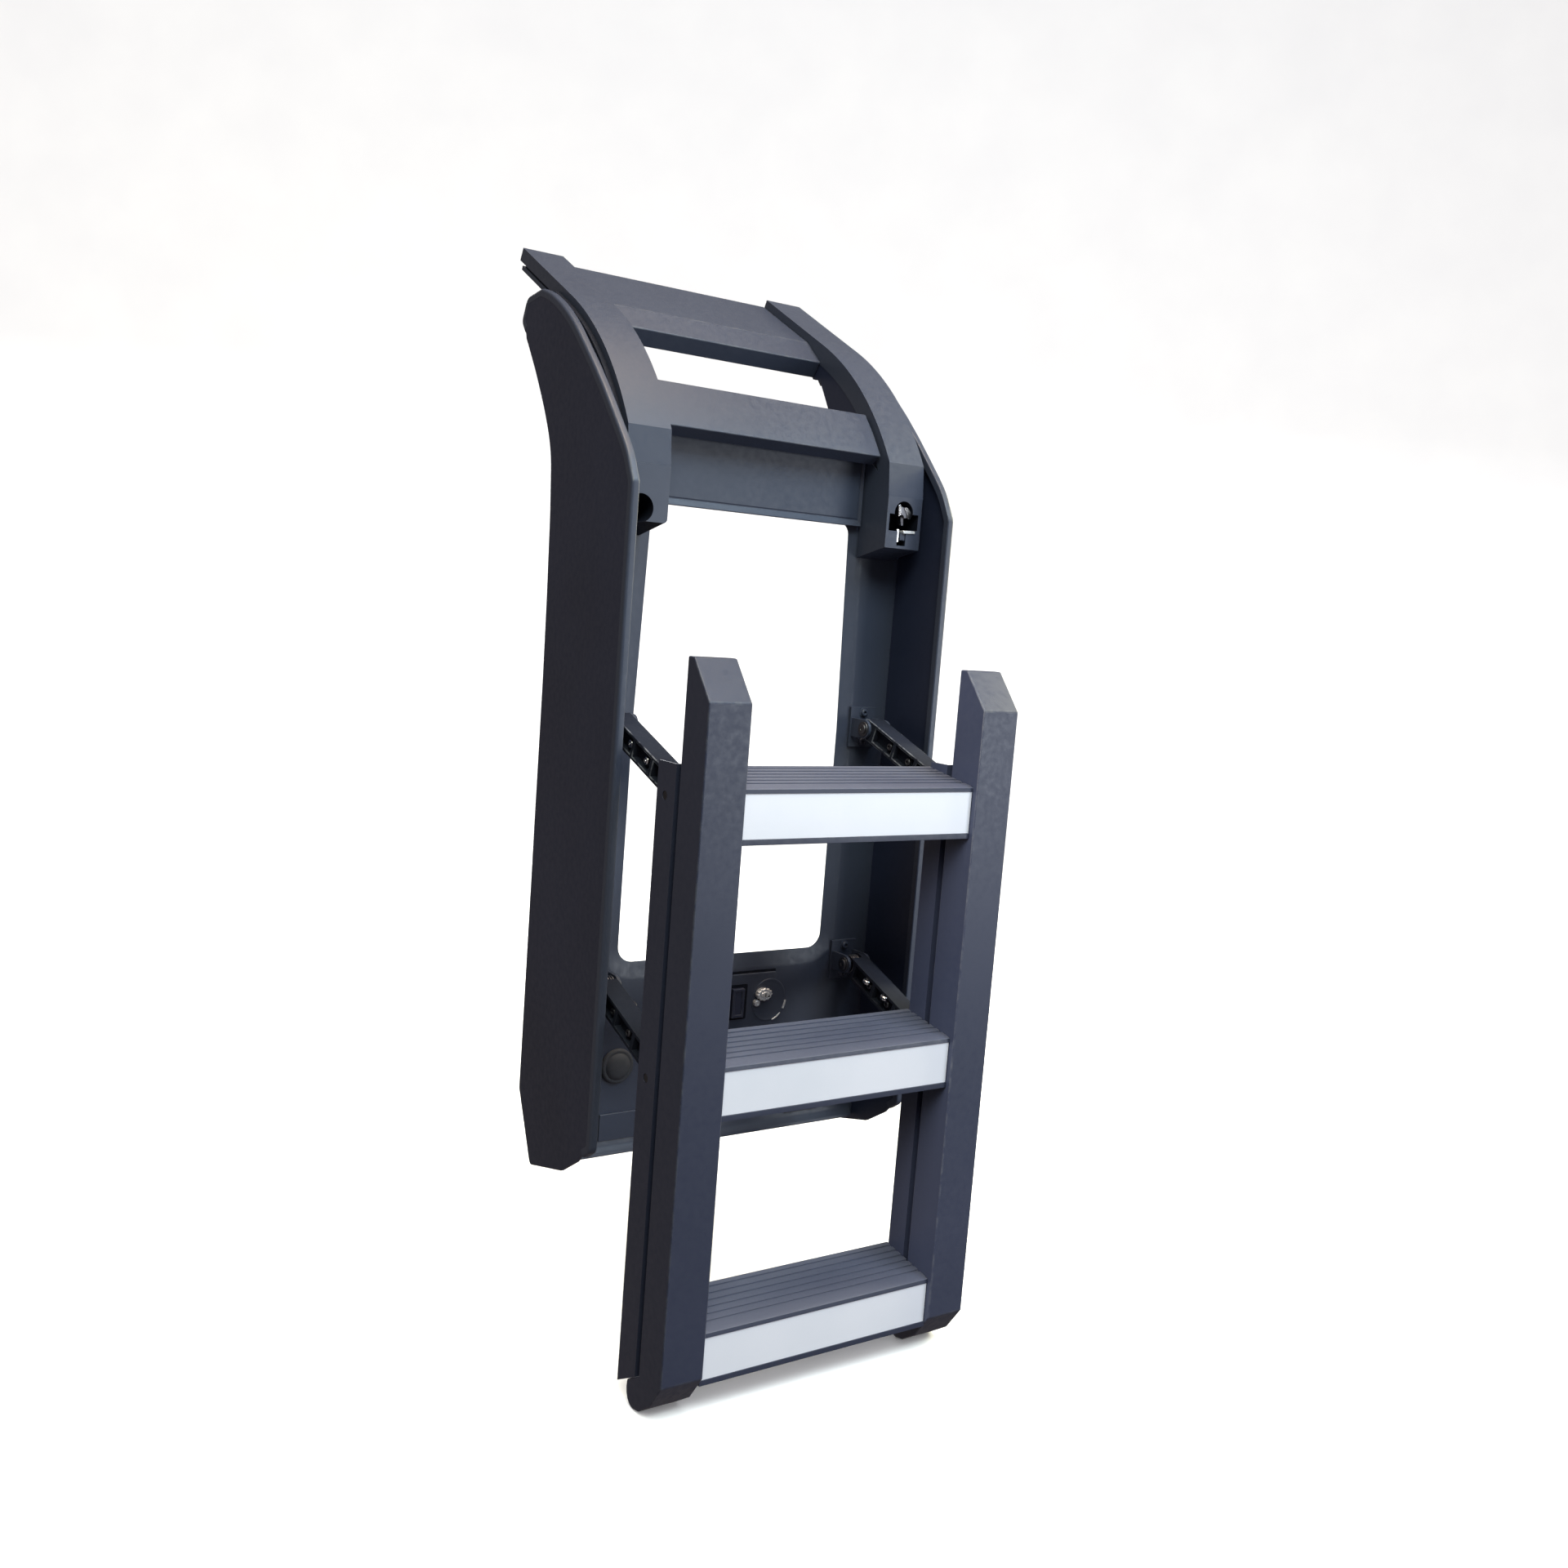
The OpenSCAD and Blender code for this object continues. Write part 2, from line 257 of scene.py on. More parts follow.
FRAME = coat("frame_coat", (0.038, 0.048, 0.080), (0.046, 0.057, 0.092), seed=1.0)
# a darker copy of the frame coat for faces that sit in shade: painted shade
SIDE_SHADE_COAT = coat("side_coat_painted_shade", (0.015, 0.021, 0.048), (0.021, 0.028, 0.062), edge_wear_and_highlight_colour=(0.05, 0.048, 0.05), edge_wear_and_highlight_amount=0.25, seed=2.0)
LADDER = coat("ladder_coat", (0.026, 0.033, 0.064), (0.032, 0.039, 0.074), seed=6.0)
TREAD = coat("tread_coat", (0.088, 0.097, 0.146), (0.106, 0.116, 0.170), rough=(0.42, 0.55), seed=8.0)
CAST = coat("cast_coat", (0.018, 0.022, 0.036), (0.026, 0.030, 0.046), rough=(0.7, 0.85), grain=0.6, seed=12.0, spec=0.06)
# upper links' coat: a bright edge tint paints the highlight that their edges catch
CAST_EDGE_HIGHLIGHT = coat("cast_coat_painted_edge_highlight", (0.018, 0.022, 0.036), (0.026, 0.030, 0.046), rough=(0.7, 0.85), grain=0.6, edge_wear_and_highlight_colour=(0.26, 0.28, 0.33), edge_wear_and_highlight_amount=1.0,
                   seed=13.0, spec=0.06)
# near-black coat for shaded gaps, hole insides and dark strips: painted shade
SHADE_COAT = coat("painted_shade_coat", (0.006, 0.008, 0.016), (0.009, 0.011, 0.020), rough=(0.6, 0.75), edge_wear_and_highlight_colour=(0.02, 0.02, 0.025), edge_wear_and_highlight_amount=0.2, seed=15.0,
            spec=0.15)
PIN = steel("pin_steel_finish", (0.50, 0.50, 0.52), (0.62, 0.62, 0.64), seed=3.0)
BLUED = steel("black_steel_finish", (0.05, 0.05, 0.055), (0.08, 0.08, 0.085), rough=(0.3, 0.45), seed=7.0)
DARKSTEEL = steel("dark_steel_finish", (0.10, 0.10, 0.115), (0.16, 0.16, 0.175), rough=(0.34, 0.5), seed=9.0)
SPRING = steel("spring_finish", (0.24, 0.24, 0.27), (0.34, 0.34, 0.38), rough=(0.3, 0.42), seed=10.0)
ZINC = steel("zinc_finish", (0.72, 0.74, 0.78), (0.82, 0.84, 0.88), rough=(0.38, 0.52), seed=11.0, metallic=0.55)
BRIGHT = steel("bright_finish", (0.74, 0.74, 0.76), (0.84, 0.84, 0.86), rough=(0.08, 0.2), seed=5.0)
BLACK = rubber("rubber_finish")
SOFT = rubber("bumper_finish", (0.045, 0.047, 0.056), (0.062, 0.064, 0.074), seed=4.0)
TAPE = tape("tape_finish")

LOOK = {
    "frame_coat": FRAME, "ladder_coat": LADDER, "cast_links": CAST, "pin_steel": PIN, "black_steel": BLUED,
    "bright_metal": BRIGHT, "rubber": BLACK, "reflective_tape": TAPE,
}
SLOT = {s["node"]: s["material_slot"] for s in frame["record"]["subparts"]}
BODY = {n: b for b, ns in frame["record"]["behaviour"]["bodies"].items() for n in ns}
for n, o in frame["nodes"].items():
    o.data.materials.clear()
    o.data.materials.append(LOOK[SLOT[n]])


# ---------------------------------------------------------------- mesh helpers, in mm
def P(x, y, z):
    return Vector((x, y, z)) * MM


def fresh():
    bm = bmesh.new()
    bm.faces.layers.float.new("edge")
    return bm


def creases(bm, angle, test=None, concave=False):
    """Edges that bend by more than angle degrees; test sees an edge's middle, in mm."""
    a = math.radians(angle)
    out = []
    for e in bm.edges:
        if len(e.link_faces) != 2:
            continue
        s = e.calc_face_angle_signed(0.0)
        if (s > a or (concave and s < -a)) and (test is None or test((e.verts[0].co + e.verts[1].co) * (0.5 / MM), e)):
            out.append(e)
    return out


def round_edges(bm, edges, w, segs=2):
    if not edges:
        return
    r = bmesh.ops.bevel(bm, geom=edges, offset=w * MM, offset_type="OFFSET", segments=segs, profile=0.5,
                        affect="EDGES", clamp_overlap=True, loop_slide=True)
    k = bm.faces.layers.float["edge"]
    for f in r["faces"]:
        f[k] = 1.0


def put(bm, name, mat, body, stands_for=(), sharp=32):
    """A bmesh becomes a piece that rides on a body."""
    bmesh.ops.recalc_face_normals(bm, faces=bm.faces)
    a = math.radians(sharp)
    for f in bm.faces:
        f.smooth = True
    for e in bm.edges:
        e.smooth = not (len(e.link_faces) == 2 and e.calc_face_angle(0.0) > a)
    me = bpy.data.meshes.new(name)
    bm.to_mesh(me)
    bm.free()
    me.materials.append(mat)
    o = bpy.data.objects.new(name, me)
    coll.objects.link(o)
    wn = o.modifiers.new("weighted_normals", "WEIGHTED_NORMAL")
    wn.keep_sharp = True
    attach(o, body)
    if stands_for:
        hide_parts(*stands_for)
    return o


def grab(node):
    bm = fresh()
    bm.from_mesh(frame["nodes"][node].data)
    bmesh.ops.remove_doubles(bm, verts=bm.verts, dist=2e-6)
    bmesh.ops.dissolve_limit(bm, angle_limit=math.radians(0.6), verts=bm.verts, edges=bm.edges)
    bmesh.ops.recalc_face_normals(bm, faces=bm.faces)
    return bm


def shape(node, w=0.8, segs=2, angle=28, concave=False, first=(), skip=None, move=None, mat=None, sharp=32):
    """The CAD node's own shape with its edges rounded, as the real, coated piece has them."""
    bm = grab(node)
    if move:
        for v in bm.verts:
            v.co = move(v.co / MM) * MM
    for test, fw, fs in first:
        round_edges(bm, creases(bm, angle, test), fw, fs)
    round_edges(bm, creases(bm, angle, skip, concave), w, segs)
    return put(bm, node + "_shape", mat or LOOK[SLOT[node]], BODY[node], (node,), sharp)


def paint(o, mat, test):
    """Faces whose middle (in mm) and normal pass the test get another coat."""
    o.data.materials.append(mat)
    k = len(o.data.materials) - 1
    for p in o.data.polygons:
        if test(p.center / MM, p.normal):
            p.material_index = k
    return o


def fillet(pts, r, n=4):
    """A closed outline with its corners rounded; r is one radius or one per corner."""
    pts = [Vector((*p, 0)).xy for p in pts]
    out = []
    m = len(pts)
    for i, p in enumerate(pts):
        ri = r[i] if isinstance(r, (list, tuple)) else r
        a, b = pts[i - 1] - p, pts[(i + 1) % m] - p
        la, lb = a.length, b.length
        a, b = a / la, b / lb
        turn = math.pi - math.acos(max(-1, min(1, a.dot(b))))
        t = min(ri * math.tan(turn / 2), 0.48 * min(la, lb))
        if t < 1e-3:
            out.append(p)
            continue
        s, e = p + a * t, p + b * t
        for k in range(n + 1):
            u = k / n
            out.append(s * (1 - u) ** 2 + p * (2 * u * (1 - u)) + e * u * u)
    return out


def prism(bm, outline, a, b, axis="X"):
    """A closed prism on an outline, from a to b along an axis."""
    put3 = {"X": lambda p, t: P(t, p[0], p[1]), "Y": lambda p, t: P(p[0], t, p[1]), "Z": lambda p, t: P(p[0], p[1], t)}[axis]
    lo = [bm.verts.new(put3(p, a)) for p in outline]
    hi = [bm.verts.new(put3(p, b)) for p in outline]
    m = len(lo)
    fs = [bm.faces.new(lo), bm.faces.new(hi[::-1])]
    for i in range(m):
        fs.append(bm.faces.new((lo[i], lo[(i + 1) % m], hi[(i + 1) % m], hi[i])))
    bmesh.ops.recalc_face_normals(bm, faces=fs)
    return fs


def rings(bm, loops, cap_first=True, cap_last=True):
    """Skins a row of loops of equal length; a loop of one point closes the end."""
    vs = [[bm.verts.new(p) for p in l] for l in loops]
    for a, b in zip(vs, vs[1:]):
        m = max(len(a), len(b))
        for i in range(m):
            j = (i + 1) % m
            q = [a[i % len(a)], a[j % len(a)], b[j % len(b)], b[i % len(b)]]
            q = [v for k, v in enumerate(q) if v not in q[:k]]
            if len(q) > 2:
                bm.faces.new(q)
    if cap_first and len(vs[0]) > 2:
        bm.faces.new(vs[0][::-1])
    if cap_last and len(vs[-1]) > 2:
        bm.faces.new(vs[-1])
    return vs


def axes(d):
    z = Vector(d).normalized()
    x = z.orthogonal().normalized()
    return x, z.cross(x), z


def lathe(bm, prof, at, axis, n=40):
    """prof is (distance along the axis, radius) from one end to the other."""
    x, y, z = axes(axis)
    loops = []
    for h, r in prof:
        c = P(*at) + z * (h * MM)
        loops.append([c] if r < 1e-4 else
                     [c + (x * math.cos(2 * math.pi * k / n) + y * math.sin(2 * math.pi * k / n)) * (r * MM) for k in range(n)])
    rings(bm, loops)


def screw(bm, at, axis, r, h, n=36):
    """Button head screw with a hexagon socket, standing on its seat."""
    x, y, z = axes(axis)

    def ring(d, rad, hexa=False):
        out = []
        for k in range(n):
            a = 2 * math.pi * k / n
            q = rad * math.cos(math.pi / 6) / math.cos(a % (math.pi / 3) - math.pi / 6) if hexa else rad
            out.append(P(*at) + z * (d * MM) + (x * math.cos(a) + y * math.sin(a)) * (q * MM))
        return out

    prof = [ring(-0.3, r * 0.98), ring(h * 0.18, r), ring(h * 0.42, r * 0.97)]
    for t in (20, 40, 60, 80):
        a = math.radians(t)
        prof.append(ring(h * (0.42 + 0.56 * math.sin(a)), r * (0.60 + 0.37 * math.cos(a))))
    prof += [ring(h, r * 0.56), ring(h, r * 0.50, True), ring(h * 0.94, r * 0.46, True), ring(h * 0.35, r * 0.46, True),
             [P(*at) + z * (h * 0.28 * MM)]]
    rings(bm, prof)


def tube(bm, pts, r, n=10):
    """A round wire along points, closed at its ends."""
    pts = [Vector(p) for p in pts]
    t0 = (pts[1] - pts[0]).normalized()
    x = t0.orthogonal().normalized()
    loops = []
    for i, p in enumerate(pts):
        t = (pts[min(i + 1, len(pts) - 1)] - pts[max(i - 1, 0)]).normalized()
        x = (x - t * x.dot(t)).normalized()
        y = t.cross(x)
        loops.append([(p + (x * math.cos(2 * math.pi * k / n) + y * math.sin(2 * math.pi * k / n)) * r) * MM for k in range(n)])
    rings(bm, loops)


def rrect(x0, x1, z0, z1, rb, rt, n=8):
    """A rectangle with round corners, from its lower left corner round."""
    out = []
    for cx, cz, r, a0 in ((x0, z0, rb, 180), (x1, z0, rb, 270), (x1, z1, rt, 0), (x0, z1, rt, 90)):
        sx, sz = (1 if cx == x0 else -1), (1 if cz == z0 else -1)
        for k in range(n + 1):
            a = math.radians(a0 + 90 * k / n)
            out.append((cx + sx * r + r * math.cos(a), cz + sz * r + r * math.sin(a)))
    return out


# ---------------------------------------------------------------- wall frame
PLATE = [(-206, -780), (-206, -26), (-189, 7), (-170, 29), (-149, 52), (-124, 79), (-96, 107), (-72, 129), (-48, 151),
         (-32, 164), (-12, 178), (9, 190), (30, 200), (54, 207), (95, 201), (108, 173), (85, 145), (60, 112), (31, 69),
         (11, 33), (1, 5), (-5, -61), (-9, -160), (-11, -259), (-11, -765), (-53, -849), (-138, -826), (-175, -802)]
PLATE_R = [12, 14] + [400] * 11 + [16, 14, 12] + [400] * 8 + [10, 8, 14, 30]


def side_plate(node):
    """Thin sheet with a rolled rim along its front and top edges."""
    lo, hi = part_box(node)
    x0, x1 = lo.x / MM, hi.x / MM
    s = 1 if x0 > 0 else -1
    out = s * max(abs(x0), abs(x1))
    # the rim runs from the lower front corner to the end of the roof curve
    path = [Vector(p) for p in fillet([(-190, -791.4)] + PLATE[:16] + [(97, 159.6)], [0] + PLATE_R[:15] + [12, 0], 5)]
    rear = fillet([(97, 159.6)] + PLATE[16:] + [(-190, -791.4)], [0] + PLATE_R[16:] + [0], 4)
    norm = []
    for i in range(len(path)):
        t = (path[min(i + 1, len(path) - 1)] - path[max(i - 1, 0)]).normalized()
        norm.append(Vector((t.y, -t.x)))
    bm = fresh()
    prism(bm, [p + n * 4 for p, n in zip(path, norm)] + rear[1:-1], out - s * 0.25, out - s * 4.2)
    round_edges(bm, creases(bm, 60), 0.6, 2)
    # the sheet's flat faces take the darker side coat as painted shade; the rim keeps the lighter frame coat
    put(bm, node + "_shape", SIDE_SHADE_COAT, "frame", (node,), 40)
    bm = fresh()
    prof = []
    for cx, cd, a0 in ((out - s * 3.4, 3.4, 0), (out - s * 8.2, 3.4 - 1.6, 90)):
        r = 3.4 if a0 == 0 else 1.8
        for k in range(5):
            a = math.radians(a0 + 90 * k / 4)
            prof.append((cx + s * r * math.cos(a), cd - r * math.sin(a)))
    prof += [(out - s * 10, 8.6), (out - s * 9.4, 9.4), (out - s * 8.4, 9.8), (out - s * 0.7, 9.8), (out, 9.1)]
    rings(bm, [[P(x, p.x + n.x * d, p.y + n.y * d) for x, d in prof] for p, n in zip(path, norm)])
    put(bm, node + "_rim", FRAME, "frame", (), 30)


side_plate("side_plate_left")
side_plate("side_plate_right")


def window_outline(d):
    """The opening, grown by d: a little narrower from 262 mm below its top upwards."""
    out = []
    for x, z in rrect(-150 - d, 150 + d, -590 - d, -38 + d, 20 + d, 14 + d):
        out.append((x - math.copysign(7 * max(0.0, z + 300) / 262, x) * min(1.0, abs(x) / 100), z))
    k = max(i for i, q in enumerate(out) if q[0] > 0 and q[1] < -300)
    out.insert(k + 1, (150 + d, -300))
    out.append((-150 - d, -300))
    return out


def back_panel():
    bm = fresh()
    loops = []
    for d, y in ((0.7, -99), (0, -99.4), (0, -99.8), (0.6, -100.3), (9, -101.9), (17, -103.45), (18.8, -103.8), (20.5, -103.95), (22, -104)):
        loops.append([P(x, y, z) for x, z in window_outline(d)])
    vs = rings(bm, loops, False, False)
    outer = []
    for inset, y in ((0.8, -99), (0, -99.8), (0, -103.2), (0.8, -104)):
        outer.append([P(x, y, z) for x, z in rrect(-224, 224, -828 + inset, 52 - inset, 0.01, 0.01, 1)])
    os_ = rings(bm, outer, False, False)
    for a, b in ((vs[0], os_[0]), (vs[-1], os_[-1])):
        es = [bm.edges.get((l[i], l[(i + 1) % len(l)])) for l in (a, b) for i in range(len(l))]
        bmesh.ops.triangle_fill(bm, edges=[e for e in es if e], use_beauty=True, use_dissolve=False)
    bmesh.ops.remove_doubles(bm, verts=bm.verts, dist=2e-5)
    k = bm.faces.layers.float["edge"]
    for f in bm.faces:
        c = f.calc_center_median() / MM
        f[k] = 1.0 if c.y > -100.4 and c.y < -99.05 and abs(c.x) < 151 else 0.0
    put(bm, "back_panel_shape", FRAME, "frame", ("back_panel",), 40)
    # lip along the panel's lower edge
    bm = fresh()
    prism(bm, fillet([(-104.4, -810), (-106.2, -817), (-111.5, -824), (-112.5, -828), (-103.9, -828), (-103.9, -810)],
                     [4, 12, 8, 1.2, 0.3, 0.3], 5), -217.9, 217.9)
    round_edges(bm, creases(bm, 60, lambda c, e: abs(e.verts[0].co.x - e.verts[1].co.x) < 1e-6 and abs(c.x) > 217), 0.5, 2)
    put(bm, "panel_lower_lip", FRAME, "frame")
    # raised plate that carries the lock
    bm = fresh()
    prism(bm, fillet([(-62, -694), (81, -694), (81, -616.6), (-62, -616.6)], 2, 4), -106.2, -104.4, "Y")
    round_edges(bm, creases(bm, 60, lambda c, e: c.y < -105 and c.z > -620), 1.3, 3)
    put(bm, "lock_plate", FRAME, "frame")
    # dark strips round the plate's top edge and round the lock's case: painted shade lines in the gaps
    bm = fresh()
    prism(bm, fillet([(-61.5, -693.5), (80.5, -693.5), (80.5, -613.2), (-61.5, -613.2)], 1, 4), -104.7, -103.8, "Y")
    prism(bm, fillet([(9, -675.5), (37.4, -675.5), (37.4, -629.8), (9, -629.8)], 2, 4), -106.9, -104, "Y")
    put(bm, "lock_shade_strips", SHADE_COAT, "frame")


back_panel()


def cross_panel():
    """A shallow pan: its rim is turned forward at the bottom and the ends, mitred at the corners."""
    bm = fresh()
    x0, x1, z0, z1 = -154, 154, -41, 50
    loops = []
    for dx, db, dt, y in ((0.5, 0.5, 0.5, -104), (0, 0, 0, -104.6), (0, 0, 0, -110.2), (0.5, 0.5, 0.5, -110.8), (1.4, 1.4, 1.2, -110.6),
                          (3.2, 7.0, 2.2, -108.4), (3.6, 7.7, 2.6, -107.9), (4.4, 8.6, 3.4, -107.9), (5.0, 9.4, 4.0, -108.5), (6.0, 10.6, 5.0, -108.9)):
        loops.append([P(x, y, z) for x, z in ((x0 + dx, z0 + db), (x1 - dx, z0 + db), (x1 - dx, z1 - dt), (x0 + dx, z1 - dt))])
    rings(bm, loops)
    put(bm, "cross_panel_shape", FRAME, "frame", ("cross_panel",), 24)


cross_panel()

for n in ("curved_rail_left", "curved_rail_right"):
    left = n.endswith("left")
    shape(n, 1.3, 2, 15, skip=lambda c, e, left=left: left or not (c.z < -1.5 and c.y < -110), sharp=30)
# the spacers fill the shaded gap between plate and rail in near-black: painted shade
shape("rail_spacers", 0.5, 2, mat=SHADE_COAT)


def rail_flanges():
    """Thin dark flange behind each curved rail's inner edge, between the two slats: a dark sheet in the shaded gap
    there, painted shade.
    """
    bm = fresh()
    out = []
    for k in range(13):
        a = math.radians(42 + 20.7 * k / 12)
        out.append((184.9 - 370 * math.cos(a), -152.8 + 370 * math.sin(a)))
    out += [(28.5, 182.9), (40, 176), (25, 153.5), (8.7, 150.8), (-24, 98), (-84, 86)]
    out = fillet(out, [0] * 13 + [2, 3, 1, 3, 8, 4], 4)
    for s in (-1, 1):
        prism(bm, out, s * 156.4, s * 159.4)
    round_edges(bm, creases(bm, 60), 0.5, 2)
    put(bm, "rail_inner_shade_flanges", SIDE_SHADE_COAT, "frame")


rail_flanges()
LB = shape("latch_block_left", 0.9, 2, first=((lambda c, e: c.x > -156.5 and c.z < -60 and abs(e.verts[0].co.y - e.verts[1].co.y) > 0.01, 5.0, 5),))
# the round hole's inside is painted near-black: painted shade
paint(LB, SHADE_COAT, lambda c, n: c.y > -160.4 and c.y < -125 and math.hypot(c.x + 191, c.z + 51.6) < 16.4)


def latch_block_right():
    """Block with a crossed mouth: a round part above, a wide slot across, a narrow slot below."""
    bm = fresh()
    prism(bm, [(-161, -2), (-161, -66), (-104, -80), (-104, -2)], 156, 211)
    round_edges(bm, creases(bm, 30, lambda c, e: not (c.z > -2.5 and c.y < -110)), 0.8, 2)
    bm.faces.ensure_lookup_table()
    front = max((f for f in bm.faces if f.normal.y < -0.99), key=lambda f: f.calc_area())
    rim = list(front.edges)
    bmesh.ops.delete(bm, geom=[front], context="FACES_ONLY")
    cx, cz, r = 182.5, -21.5, 14.5
    arc = []
    a0, a1 = 180 + math.degrees(math.asin(2.2 / r)), math.degrees(-math.asin(0.7 / r))
    for k in range(25):
        a = math.radians(a0 + (a1 - a0) * k / 24)
        arc.append((cx + r * math.cos(a), cz + r * math.sin(a)))
    hole = [(160.5, -44.5), (160.5, -23.7)] + arc + [(206, -22.2), (206, -41.6), (188, -42.2), (188, -62), (174.6, -62), (174.6, -44.5)]
    hole = fillet(hole, [1, 1] + [0] * 25 + [1, 1, 0.6, 1, 1, 0.6], 3)
    c = Vector((183, -34))
    loops = []
    for g, y in ((0.6, -161), (0.15, -160.8), (0, -160.3), (0, -126)):
        loops.append([P(q.x + (q - c).normalized().x * g, y, q.y + (q - c).normalized().y * g) for q in (Vector(p) for p in hole)])
    old = set(bm.faces)
    vs = rings(bm, loops, False, True)
    # the mouth's inner walls take the near-black coat: painted shade
    for f in bm.faces:
        if f not in old and f.calc_center_median().y > -0.1602:
            f.material_index = 1
    es = [bm.edges.get((vs[0][i], vs[0][(i + 1) % len(vs[0])])) for i in range(len(vs[0]))]
    bmesh.ops.triangle_fill(bm, edges=rim + es, use_beauty=True, use_dissolve=False)
    o = put(bm, "latch_block_right_shape", FRAME, "frame", ("latch_block_right",))
    o.data.materials.append(SHADE_COAT)


latch_block_right()
US = shape("upper_slat", 1.6, 3, 10, sharp=30)


def slat_end(c):
    c = c.copy()
    if abs(c.x) > 155:
        c.x -= math.copysign(3, c.x)
    return c


shape("lower_slat", 1.6, 3, 28, move=slat_end)
shape("upper_brackets", 0.8, 2, mat=FRAME)
shape("lower_brackets", 0.8, 2, mat=FRAME)


def case_end(c):
    """The case is narrower and a little lower than the block that stands for it."""
    return Vector((c.x if c.x < 20 else c.x - 8, c.y, c.z if c.z < -640 else c.z - 6))


shape("lock_case", 1.2, 3, move=case_end, mat=LADDER)
shape("bumper_pads", 0.9, 3)
shape("upper_mount_bar", 1.0, 2)
shape("lower_mount_bar", 1.0, 2)

LX = 185.5
PIV = (-134, -297)
STEP = 310
LINK_A = math.radians(20.4)


def frame_pins(node, z):
    bm = fresh()
    for s in (-1, 1):
        lathe(bm, [(0, 0), (0, 4.4), (0.6, 5), (36, 5), (36, 9.2), (36.9, 9.5), (37.4, 9.2), (37.5, 6.9), (38.6, 6.9), (39.4, 6.2),
                   (39.5, 2.4), (38.7, 1.8), (38.7, 0)], (s * 203.5, PIV[0], z), (-s, 0, 0), 48)
        # snap ring on the outer end
        lathe(bm, [(0, 5), (0.2, 7.4), (1.2, 7.4), (1.4, 5)], (s * 204.9, PIV[0], z), (-s, 0, 0), 40)
    put(bm, node + "_shape", DARKSTEEL, "frame", (node,), 35)


frame_pins("upper_frame_pins", PIV[1])
frame_pins("lower_frame_pins", PIV[1] - STEP)


def springs():
    bm, core = fresh(), fresh()
    for s in (-1, 1):
        pts = []
        turns, r = 4.0, 11.2
        z = PIV[1] - STEP
        # the leg leaves towards the panel, out of the swinging link's way
        for t in (18.5, 12, 6):
            pts.append((s * 174.2, PIV[0] + 5.6 + 0.866 * t, z - 9.7 + 0.5 * t))
        for k in range(int(turns * 20) + 1):
            a = -math.pi / 3 - 2 * math.pi * k / 20
            pts.append((s * (174.2 + 13.2 * k / (turns * 20)), PIV[0] + r * math.cos(a), z + r * math.sin(a)))
        tube(bm, pts, 0.95, 10)
        lathe(core, [(0, 5.2), (0, 9.4), (12.6, 9.4), (12.6, 5.2)], (s * 173.4, PIV[0], z), (s, 0, 0), 40)
    put(bm, "pivot_spring_coils", SPRING, "frame", ("pivot_springs",), 60)
    # the cores inside the coils take the near-black coat: painted shade
    put(core, "pivot_spring_cores", SHADE_COAT, "frame", (), 40)


springs()


def bracket_bolts():
    bm = fresh()
    for s in (-1, 1):
        for z in (PIV[1], PIV[1] - STEP):
            for dz in (-19, 19):
                lathe(bm, [(-0.2, 6.4), (0.9, 6.4), (1.1, 6.1), (1.1, 3)], (s * LX, -108, z + dz), (0, -1, 0), 36)
                screw(bm, (s * LX, -109.1, z + dz), (0, -1, 0), 5, 3.1)
    put(bm, "bracket_bolts", FRAME, "frame", (), 35)


bracket_bolts()


